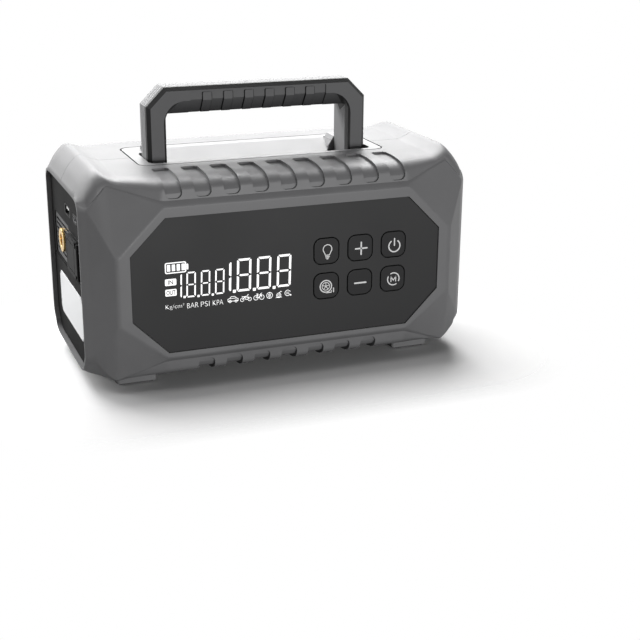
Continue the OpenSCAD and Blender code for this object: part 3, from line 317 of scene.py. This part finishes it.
def stroke(points, width, closed=False):
    """The outline of a line of this width along the points, with mitred corners."""
    spots = [Vector(p) for p in points]
    first, second = [], []
    for i, spot in enumerate(spots):
        ways = []
        if closed or i:
            ways.append((spot - spots[i - 1]).normalized())
        if closed or i + 1 < len(spots):
            ways.append((spots[(i + 1) % len(spots)] - spot).normalized())
        along = sum(ways, Vector((0, 0))).normalized()
        across = Vector((-along.y, along.x))
        reach = width / 2 / max(0.5, across.dot(Vector((-ways[0].y, ways[0].x))))
        first.append(tuple(spot + across * reach))
        second.append(tuple(spot - across * reach))
    return [first, second] if closed else [first + second[::-1]]


def bar(x0, z0, x1, z1, width):
    """A straight bar with round ends."""
    turn = math.degrees(math.atan2(z1 - z0, x1 - x0))
    half = width / 2
    way = Vector((x1 - x0, z1 - z0)).normalized() * half
    return [arc(x1 - way.x, z1 - way.y, half, turn - 90, turn + 90, 6)
            + arc(x0 + way.x, z0 + way.y, half, turn + 90, turn + 270, 6)]


def box_of(x0, z0, x1, z1, radius=0.0):
    """A box between two corners, with round corners when there is a radius."""
    if not radius:
        return [[(x0, z0), (x1, z0), (x1, z1), (x0, z1)]]
    corners = ((x1 - radius, z0 + radius, -90), (x1 - radius, z1 - radius, 0),
               (x0 + radius, z1 - radius, 90), (x0 + radius, z0 + radius, 180))
    return [[p for x, z, turn in corners for p in arc(x, z, radius, turn, turn + 90, 4)]]


def shifted(shapes, x, z):
    """The shapes moved to another middle."""
    return [[[(x + px, z + pz) for px, pz in loop] for loop in shape] for shape in shapes]


def to_print(pieces, name, face, finish, body):
    """Joins flat curves or texts, already in X-Z places, into one print on a face."""
    bpy.ops.object.select_all(action="DESELECT")
    for piece in pieces:
        piece.select_set(True)
    bpy.context.view_layer.objects.active = pieces[0]
    bpy.ops.object.convert(target="MESH")
    if len(pieces) > 1:
        bpy.ops.object.join()
    made = bpy.context.active_object
    made.name = name
    made.data.transform(Matrix.Translation((0, (face - PRINT / 2) * MM, 0))
                        @ Matrix.Rotation(math.pi / 2, 4, "X"))
    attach(made, body)
    paint(made, finish)
    bpy.ops.object.select_all(action="DESELECT")


def flat_curve(loops):
    """A filled flat shape with these outlines; an outline inside another is a hole."""
    data = bpy.data.curves.new("mark", "CURVE")
    data.dimensions, data.fill_mode, data.extrude = "2D", "BOTH", PRINT / 2 * MM
    for loop in loops:
        line = data.splines.new("POLY")
        line.points.add(len(loop) - 1)
        for point, (x, z) in zip(line.points, loop):
            point.co = (x * MM, z * MM, 0, 1)
        line.use_cyclic_u = True
    made = bpy.data.objects.new("mark", data)
    bpy.context.scene.collection.objects.link(made)
    return made


def word(text, x0, z0, x1, z1, weight=FINE):
    """A word in the built-in face, fitted to a box, with its lines made finer or bolder."""
    data = bpy.data.curves.new("word", "FONT")
    data.body, data.size = text, FONT_SIZE * MM
    data.extrude, data.offset = PRINT / 2 * MM, weight * MM
    made = bpy.data.objects.new("word", data)
    bpy.context.scene.collection.objects.link(made)
    bpy.ops.object.select_all(action="DESELECT")
    made.select_set(True)
    bpy.context.view_layer.objects.active = made
    bpy.ops.object.convert(target="MESH")
    made = bpy.context.active_object
    spots = [vertex.co for vertex in made.data.vertices]
    low = [min(spot[k] for spot in spots) for k in (0, 1)]
    high = [max(spot[k] for spot in spots) for k in (0, 1)]
    size = [length * MM / (b - a) for length, a, b in zip((x1 - x0, z1 - z0), low, high)]
    made.data.transform(Matrix.Translation((x0 * MM, z0 * MM, 0)) @ Matrix.Diagonal((*size, 1, 1))
                        @ Matrix.Translation((-low[0], -low[1], 0)))
    return made


# A numeral's gap between segments and its lean, and, as parts of a segment's
# thickness, the slant of its ends and half of the middle one
GAP, LEAN, SLANT, MIDDLE = 0.45, 0.03, 0.45, 0.43


def digit(x, z, width, height, thick, lit="abcdefg"):
    """The lit segments of one numeral, leaning to the right, with slanted ends."""
    right, top, mid = x + width, z + height, z + height / 2
    side, cut, half = thick + GAP, SLANT * thick, MIDDLE * thick
    upper = [(x, top - GAP - cut), (x + cut, top - GAP - 0.4 * cut), (x + thick, top - side),
             (x + thick, mid + half + GAP), (x, mid + GAP * 0.7)]
    level = [(x + GAP + cut, top), (right - GAP - cut, top), (right - GAP - 0.5 * cut, top - 0.4 * cut),
             (right - side, top - thick), (x + side, top - thick), (x + GAP + 0.5 * cut, top - 0.4 * cut)]
    middle = [(x + side - 0.5 * cut, mid), (x + side + 0.4 * cut, mid + half),
              (right - side - 0.4 * cut, mid + half), (right - side + 0.5 * cut, mid),
              (right - side - 0.4 * cut, mid - half), (x + side + 0.4 * cut, mid - half)]

    def over(points):
        return [(x + right - px, pz) for px, pz in points]

    def below(points):
        return [(px, z + top - pz) for px, pz in points]

    segments = {"a": level, "b": over(upper), "c": below(over(upper)), "d": below(level),
                "e": below(upper), "f": upper, "g": middle}
    return [[[(px + LEAN * (pz - mid), pz) for px, pz in segments[k]]] for k in lit]


display_glow, glow_shader = start_finish("display_glow")[:2]
glow_shader.inputs["Base Color"].default_value = (0.9, 0.9, 0.9, 1)
glow_shader.inputs["Emission Color"].default_value = (1, 1, 1, 1)
glow_shader.inputs["Emission Strength"].default_value = 0.55
white_ink, ink_shader = start_finish("white_ink")[:2]
ink_shader.inputs["Base Color"].default_value = (0.72, 0.72, 0.72, 1)
ink_shader.inputs["Roughness"].default_value = 0.45

# Small and large numerals, each row led by a 1 that has only its right side,
# and the points between them
THIN, THICK = 0.95, 1.45
shapes = digit(-76.0, 63.1, 3.9, 16.2, THIN, "bc") + digit(-45.5, 63.4, 5.5, 20.4, THICK, "bc")
for x in (-69.2, -59.9, -50.6):
    shapes += digit(x, 63.1, 6.05, 16.5, THIN)
for x in (-36.3, -23.0, -9.5):
    shapes += digit(x, 63.2, 9.5, 21.5, THICK)
for x, z, half in ((-70.6, 63.7, 0.75), (-61.6, 63.3, 0.75), (-52.3, 63.2, 0.75),
                   (-38.1, 63.8, 1.0), (-24.8, 63.6, 1.0), (-11.5, 63.4, 1.0)):
    shapes.append(box_of(x - half, z - half, x + half, z + half, half * 0.45))
# Charge gauge, and the frames of the two words beside it
gauge = box_of(-82.6, 79.7, -69.0, 86.8, 1.2)
shapes.append(gauge + box_of(-81.9, 80.4, -69.7, 86.1, 0.7))
shapes.append(box_of(-68.8, 81.4, -67.7, 85.1, 0.4))
for x in (-81.3, -78.2, -75.1, -72.0):
    shapes.append(box_of(x, 81.2, x + 2.1, 85.4, 0.2))
display_marks = [flat_curve(shape) for shape in shapes]
# Units along the bottom, each word in its box
for text, x0, z0, x1, z1 in (("Kg/cm²", -82.9, 56.1, -70.9, 59.6), ("BAR", -69.1, 56.0, -61.8, 59.3),
                             ("PSI", -60.2, 56.0, -54.6, 59.3), ("KPA", -52.4, 56.0, -45.6, 59.3)):
    display_marks.append(word(text, x0, z0, x1, z1))

# What can be inflated: a car, a motorcycle, a bicycle, a ball, a ring and a mat
LINE, HAIRLINE = 0.32, 0.28


def wheel(x, z, radius, width=LINE):
    """A ring drawn with a line of this width."""
    return stroke(arc(x, z, radius, steps=18), width, True)


car = [stroke([(-3.3, -1.0), (-3.4, 0.5), (-2.2, 0.9), (-1.2, 2.0), (1.3, 2.0), (2.3, 0.8), (3.4, 0.4),
               (3.4, -1.0)], LINE, True),
       wheel(-2.0, -1.1, 0.8), wheel(2.0, -1.1, 0.8), stroke([(-2.0, 0.8), (2.2, 0.8)], LINE)]
motorcycle = [wheel(-2.5, -0.9, 1.15), wheel(2.5, -0.9, 1.15),
              stroke([(-2.5, -0.9), (-0.9, 0.6), (1.0, 0.5), (2.5, -0.9)], LINE),
              stroke([(1.6, 0.1), (0.9, 1.9), (1.9, 2.1)], LINE),
              stroke([(-2.7, 1.1), (-0.7, 1.0), (0.6, 1.3)], 0.45),
              stroke([(-0.8, 0.4), (-0.2, -0.9), (1.2, -0.9)], 0.4)]
bicycle = [wheel(-2.0, -0.6, 1.5), wheel(2.0, -0.6, 1.5),
           stroke([(-2.0, -0.6), (-0.9, 1.1), (1.4, 1.1), (0.0, -0.6)], LINE, True),
           stroke([(2.0, -0.6), (1.2, 2.0), (2.1, 2.1)], LINE), stroke([(-1.0, 0.9), (-1.1, 1.8)], LINE),
           stroke([(-1.8, 1.9), (-0.5, 1.9)], LINE)]
ball = [wheel(0, 0, 2.0), stroke(arc(-2.6, 0, 2.0, -40, 40, 8), HAIRLINE),
        stroke(arc(2.6, 0, 2.0, 140, 220, 8), HAIRLINE), stroke([(0, -1.9), (0, 1.9)], HAIRLINE)]
ring = [wheel(0, -0.6, 1.5), wheel(0, -0.6, 0.7, HAIRLINE),
        stroke([(0.3, 0.9), (1.3, 1.9), (2.1, 1.6)], LINE), stroke([(-2.0, -2.0), (2.2, -2.0)], HAIRLINE)]
mat = [stroke(arc(0, 0.3, 1.9, 20, 330, 14), LINE), stroke([(-1.1, 0.8), (1.0, 0.8)], LINE),
       stroke([(-1.2, -0.3), (1.2, -0.3)], LINE), box_of(1.6, -1.7, 2.5, -0.8, 0.2)]
ICONS_Z = 58.4
for icon, x in ((car, -39.1), (motorcycle, -30.5), (bicycle, -21.8), (ball, -14.6), (ring, -8.4),
                (mat, -2.3)):
    display_marks += [flat_curve(shape) for shape in shifted(icon, x, ICONS_Z)]
# Two lit tabs, with their words left dark
for z0, z1 in ((72.0, 76.3), (65.2, 69.6)):
    display_marks.append(flat_curve(box_of(-82.8, z0, -75.6, z1, 0.7)))
to_print(display_marks, "display_marks", PLATE_FACE, display_glow, "housing")
tab_words = [word("IN", -80.9, 72.7, -77.6, 75.6, BOLD), word("OUT", -82.1, 65.9, -76.3, 68.9, BOLD)]
to_print(tab_words, "tab_words", PLATE_FACE - PRINT, panel_plastic, "housing")

# Key symbols, each with the middle of its key
lamp = [stroke(arc(0, 1.65, 3.0, -38, 218, 22) + [(-1.35, -2.3), (1.35, -2.3)], 0.6, True),
        bar(-1.6, -3.3, 1.6, -3.3, 0.6), bar(-1.2, -4.2, 1.2, -4.2, 0.6), bar(-0.7, -4.9, 0.7, -4.9, 0.5)]
plus = [bar(-4.5, 0, 4.5, 0, 1.0), bar(0, -4.55, 0, 4.55, 1.0)]
power = [stroke(arc(0, -0.6, 4.0, 122, 418, 30), 0.85), bar(0, -0.7, 0, 4.8, 0.85)]
spokes = [[(-0.7 + reach * math.cos(t), 0.3 + reach * math.sin(t)) for reach in (0.6, 2.4)]
          for t in (math.radians(18 + 72 * i) for i in range(5))]
tyre = [wheel(-0.7, 0.3, 4.0, 0.75), wheel(-0.7, 0.3, 2.6, 0.5), box_of(-1.4, -0.4, 0.0, 1.0, 0.3)]
tyre += [stroke(spoke, 0.5) for spoke in spokes]
tyre += [bar(-0.9, -4.1, 3.6, -4.1, 0.7), bar(4.7, -4.3, 4.7, -1.0, 0.7), bar(3.2, -4.1, 3.2, -2.6, 0.6)]
minus = [bar(-4.45, 0, 4.45, 0, 1.05)]
mode = [stroke(arc(0, 0, 4.15, 150, 305, 20), 0.75), stroke(arc(0, 0, 4.15, -28, 122, 20), 0.75)]
mode += [bar(-1.7, -2.0, -1.7, 2.0, 0.65), bar(1.7, -2.0, 1.7, 2.0, 0.65),
         stroke([(-1.75, 1.7), (0, -0.9), (1.75, 1.7)], 0.6)]
SYMBOLS = {"light": (lamp, 24.9, 83.6), "plus": (plus, 48.5, 83.5), "power": (power, 72.2, 83.5),
           "inflate": (tyre, 24.7, 60.0), "minus": (minus, 48.3, 60.1), "mode": (mode, 72.1, 60.2)}
for name, (shapes, x, z) in SYMBOLS.items():
    to_print([flat_curve(shape) for shape in shifted(shapes, x, z)], name + "_symbol", KEY_FACE, white_ink,
             name + "_button")


# ---------------------------------------------------------------- handle
# The recessed seat in the deck, the stiff grey frame, and the soft layer over
# its front with its finger pads: black on its edges, with painted shade that
# darkens the slope under the grip towards the bottom.
seat_plastic = moulded("seat_plastic", HOUSING_GREY, 0.42)
frame_plastic = moulded("frame_plastic", (0.2, 0.2, 0.203), 0.5, grain=0.6, depth=0.003, gloss=0.2,
                        fade=("Y", -6.4, -6.1, 0.08))
soft_rubber = moulded("soft_rubber", (0.085, 0.085, 0.087), 0.62, grain=0.3, depth=0.012, gloss=0.3)
soft_edge = moulded("soft_edge", (0.014, 0.014, 0.014), 0.5, grain=0.3, depth=0.008, gloss=0.15)
# Painted shade: the slope under the grip faces down, so its grey is painted darker towards the bottom, down
# to 0.3 of it.
painted_shade_slope = moulded("painted_shade_slope", (0.08, 0.08, 0.082), 0.6, grain=0.3, depth=0.01, gloss=0.2,
                     fade=("Z", 166.5, 176.0, 0.3))


# The down-facing faces of the slope under the grip, which take the painted shade
def under_slope(at, out):
    return -0.9 < out.z < -0.3


def grip_edge(at, out):
    return out.y > -0.93 and (abs(out.x) > 0.3 or abs(out.z) > 0.9 or out.z > 0.3)


dress("handle_seat", 0.35, seat_plastic, "trim")
dress("handle_frame", 0.25, frame_plastic, "trim", angle=50)
dress("handle_grip", 0.3, soft_rubber, "soft", (painted_shade_slope, under_slope), (soft_edge, grip_edge), angle=50)


# ---------------------------------------------------------------- left end
# The end panel with its row of ports: USB sockets, the grille round the brass
# air outlet, the covered jump lead socket, and the side light.
end_plastic = moulded("end_plastic", (0.006, 0.006, 0.006), 0.6, grain=0.3, depth=0.01, gloss=0.04)
dark_plastic = moulded("dark_plastic", (0.012, 0.012, 0.012), 0.5, grain=0.25, depth=0.006, gloss=0.12)
cover_rubber = moulded("cover_rubber", (0.012, 0.012, 0.012), 0.6, grain=0.3, depth=0.01, gloss=0.1)
grille_plastic = moulded("grille_plastic", (0.03, 0.03, 0.0305), 0.45, grain=0.25, depth=0.006, gloss=0.3)
dress("left_panel", 0.3, end_plastic, "end_panel")
dress("left_grille", 0.2, grille_plastic, "dark_plastic")
dress("usb_a_port", 0.15, dark_plastic, "dark_plastic")
dress("start_socket", 0.25, dark_plastic, "dark_plastic")
dress("socket_cover", 0.4, cover_rubber, "soft", body="socket_cover")


def metal(name, colour, roughness, grain=0.6, wear=0.12):
    """Bare metal with fine turning marks and uneven polish."""
    made, shader, place = start_finish(name)
    cloud = place.noise(60.0, 4.0)
    fine = place.noise(1000 / grain, 2.0)
    tone = cloud.between(1 - wear, 1 + wear, NOISE_LOW, NOISE_HIGH)
    lay(shader, colour, tone, fine, roughness, spread=0.06, grain=fine, depth=0.003)
    shader.inputs["Metallic"].default_value = 1.0
    return made


USB_C_FRONT = -126.5


def usb_c_rim(at, out):
    return at.x < USB_C_FRONT and out.x < -0.5


brass = metal("brass", (0.72, 0.5, 0.19), 0.28)
plated_steel = metal("plated_steel", (0.6, 0.6, 0.61), 0.3)
white_plastic = moulded("white_plastic", (0.75, 0.75, 0.74), 0.4, grain=0.25, depth=0.004)
dress("air_outlet", 0.3, brass, "brass")
dress("usb_c_port", 0.1, plated_steel, "steel", (dark_plastic, usb_c_rim))
dress("start_contacts", 0.15, brass, "brass")
dress("usb_a_tongue", 0.1, white_plastic, "white_plastic")
lens_plastic = moulded("lens_plastic", (0.78, 0.79, 0.8), 0.3, grain=0.4, depth=0.004, mottle=0.02)
lens_shader = lens_plastic.node_tree.nodes["Principled BSDF"]
# Painted light: a faint glow on the lens keeps it pale white.
lens_shader.inputs["Emission Color"].default_value = (1, 1, 1, 1)
lens_shader.inputs["Emission Strength"].default_value = 0.12
dress("light_lens", 0.4, lens_plastic, "lens")


# ---------------------------------------------------------------- feet and right end
# Four rubber pads in their sockets under the part, and the louvred panel that
# closes the end away from the ports.
foot_rubber = moulded("foot_rubber", (0.03, 0.03, 0.031), 0.7, grain=0.5, depth=0.02, gloss=0.3)
dress("rubber_feet", 0.3, foot_rubber, "soft")
dress("right_panel", 0.3, end_plastic, "dark_plastic")


# ---------------------------------------------------------------- inside
# What the housing holds: boards, side light parts, battery, compressor, and
# the tubes and leads that join them.
board_lacquer = moulded("board_lacquer", (0.012, 0.085, 0.04), 0.28, grain=0.8, depth=0.008, mottle=0.12)
chip_black = moulded("chip_black", (0.018, 0.018, 0.019), 0.45, grain=0.2, depth=0.004)
bare_alloy = metal("bare_alloy", (0.62, 0.63, 0.64), 0.38)
cast_alloy = metal("cast_alloy", (0.5, 0.51, 0.52), 0.5, grain=0.9, wear=0.16)
film_blue = moulded("film_blue", (0.03, 0.15, 0.34), 0.3, grain=1.5, depth=0.006, mottle=0.04)
led_yellow = moulded("led_yellow", (0.8, 0.62, 0.12), 0.35, grain=0.3, depth=0.003)
copper = metal("copper", (0.7, 0.34, 0.2), 0.32)

# Where the parts on a board, and a part's label, ends or terminals begin
BOARD_FRONT, BOARD_BACK, SCREEN_GLASS = -63.85, -62.15, -68.2
PORT_BOARD_TOP, MAIN_BOARD_TOP, HEAT_SINK, CAPACITOR_TOP = 104.1, 101.75, -9.5, 115.2
LED_BACK, CELL_END, RELAY_TOP, MOTOR_TOP = -119.85, 31.6, 122.0, 67.1


def sink_or_can_top(at, out):
    return at.z > MAIN_BOARD_TOP and (at.y < HEAT_SINK or at.z > CAPACITOR_TOP)


dress("control_board", 0, board_lacquer, "board",
      (chip_black, lambda at, out: at.y < BOARD_FRONT or at.y > BOARD_BACK))
dress("display_module", 0.3, white_plastic, "display", (chip_black, lambda at, out: at.y < SCREEN_GLASS))
dress("port_board", 0.15, board_lacquer, "board", (chip_black, lambda at, out: at.z > PORT_BOARD_TOP))
dress("main_board", 0.15, board_lacquer, "board", (chip_black, lambda at, out: at.z > MAIN_BOARD_TOP),
      (bare_alloy, sink_or_can_top))
dress("light_box", 0.2, white_plastic, "white_plastic")
dress("light_board", 0.1, white_plastic, "white_plastic", (led_yellow, lambda at, out: at.x < LED_BACK))
dress("battery_cells", 0.4, film_blue, "cell", (plated_steel, lambda at, out: abs(at.y) > CELL_END))
dress("battery_frame", 0.3, dark_plastic, "dark_plastic")
dress("cell_links", 0, plated_steel, "steel")
dress("start_relay", 0.8, chip_black, "dark_plastic", (copper, lambda at, out: at.z > RELAY_TOP))
dress("motor", 0.8, plated_steel, "steel", (chip_black, lambda at, out: at.z > MOTOR_TOP))
dress("motor_fan", 0.15, dark_plastic, "dark_plastic", body="motor_fan")
for name, edge in (("gearbox", 1.2), ("cylinder_barrel", 0.3), ("cylinder_head", 0.5)):
    dress(name, edge, cast_alloy, "cast_alloy")
dress("motor_cradle", 0.4, dark_plastic, "dark_plastic")
dress("rubber_mounts", 0.4, foot_rubber, "soft")
for name in ("case_screws", "handle_screws"):
    dress(name, 0.15, plated_steel, "steel")


TUBE_RADIUS, TUBE_SMOOTH = 2.6, 40


def tube(node, corners, finish, rounds=3):
    """A smooth tube along corners, in millimetres, in place of a faceted node."""
    spots = [Vector(corner) for corner in corners]
    for _ in range(rounds):
        cut = [spots[0]]
        for a, b in zip(spots, spots[1:]):
            cut += [a.lerp(b, 0.25), a.lerp(b, 0.75)]
        spots = cut + [spots[-1]]
    data = bpy.data.curves.new(node, "CURVE")
    data.dimensions, data.use_fill_caps = "3D", True
    data.bevel_depth, data.bevel_resolution = TUBE_RADIUS * MM, 6
    line = data.splines.new("POLY")
    line.points.add(len(spots) - 1)
    for point, spot in zip(line.points, spots):
        point.co = (*(spot * MM), 1)
    made = bpy.data.objects.new(node + "_tube", data)
    bpy.context.scene.collection.objects.link(made)
    made.select_set(True)
    bpy.context.view_layer.objects.active = made
    bpy.ops.object.convert(target="MESH")
    made = bpy.context.active_object
    bpy.ops.object.shade_smooth_by_angle(angle=math.radians(TUBE_SMOOTH))
    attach(made, "housing")
    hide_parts(node)
    paint(made, finish)
    made.select_set(False)


# The corners of each run are those of its solid
red_insulation = moulded("red_insulation", (0.5, 0.015, 0.012), 0.4, grain=0.4, depth=0.004, mottle=0.03)
black_insulation = moulded("black_insulation", (0.02, 0.02, 0.021), 0.4, grain=0.4, depth=0.004)
tube("air_pipe", [(-98, 16, 103), (-104, 16, 103), (-107, 19.5, 98), (-107, 19.5, 86), (-109, 19.5, 82),
                  (-113, 19.5, 82)], copper, rounds=2)
for name, y, z, x, finish, slot in (("positive_lead", -17.4, 88, 15, red_insulation, "red_wire"),
                                    ("negative_lead", -28.6, 78, 29, black_insulation, "soft")):
    tube(name, [(-105, y, 82), (-100, y, 82), (-87, -44, z), (x - 8, -44, z), (x, -36.5, z),
                (x + 4, -35.75, z)], finish)
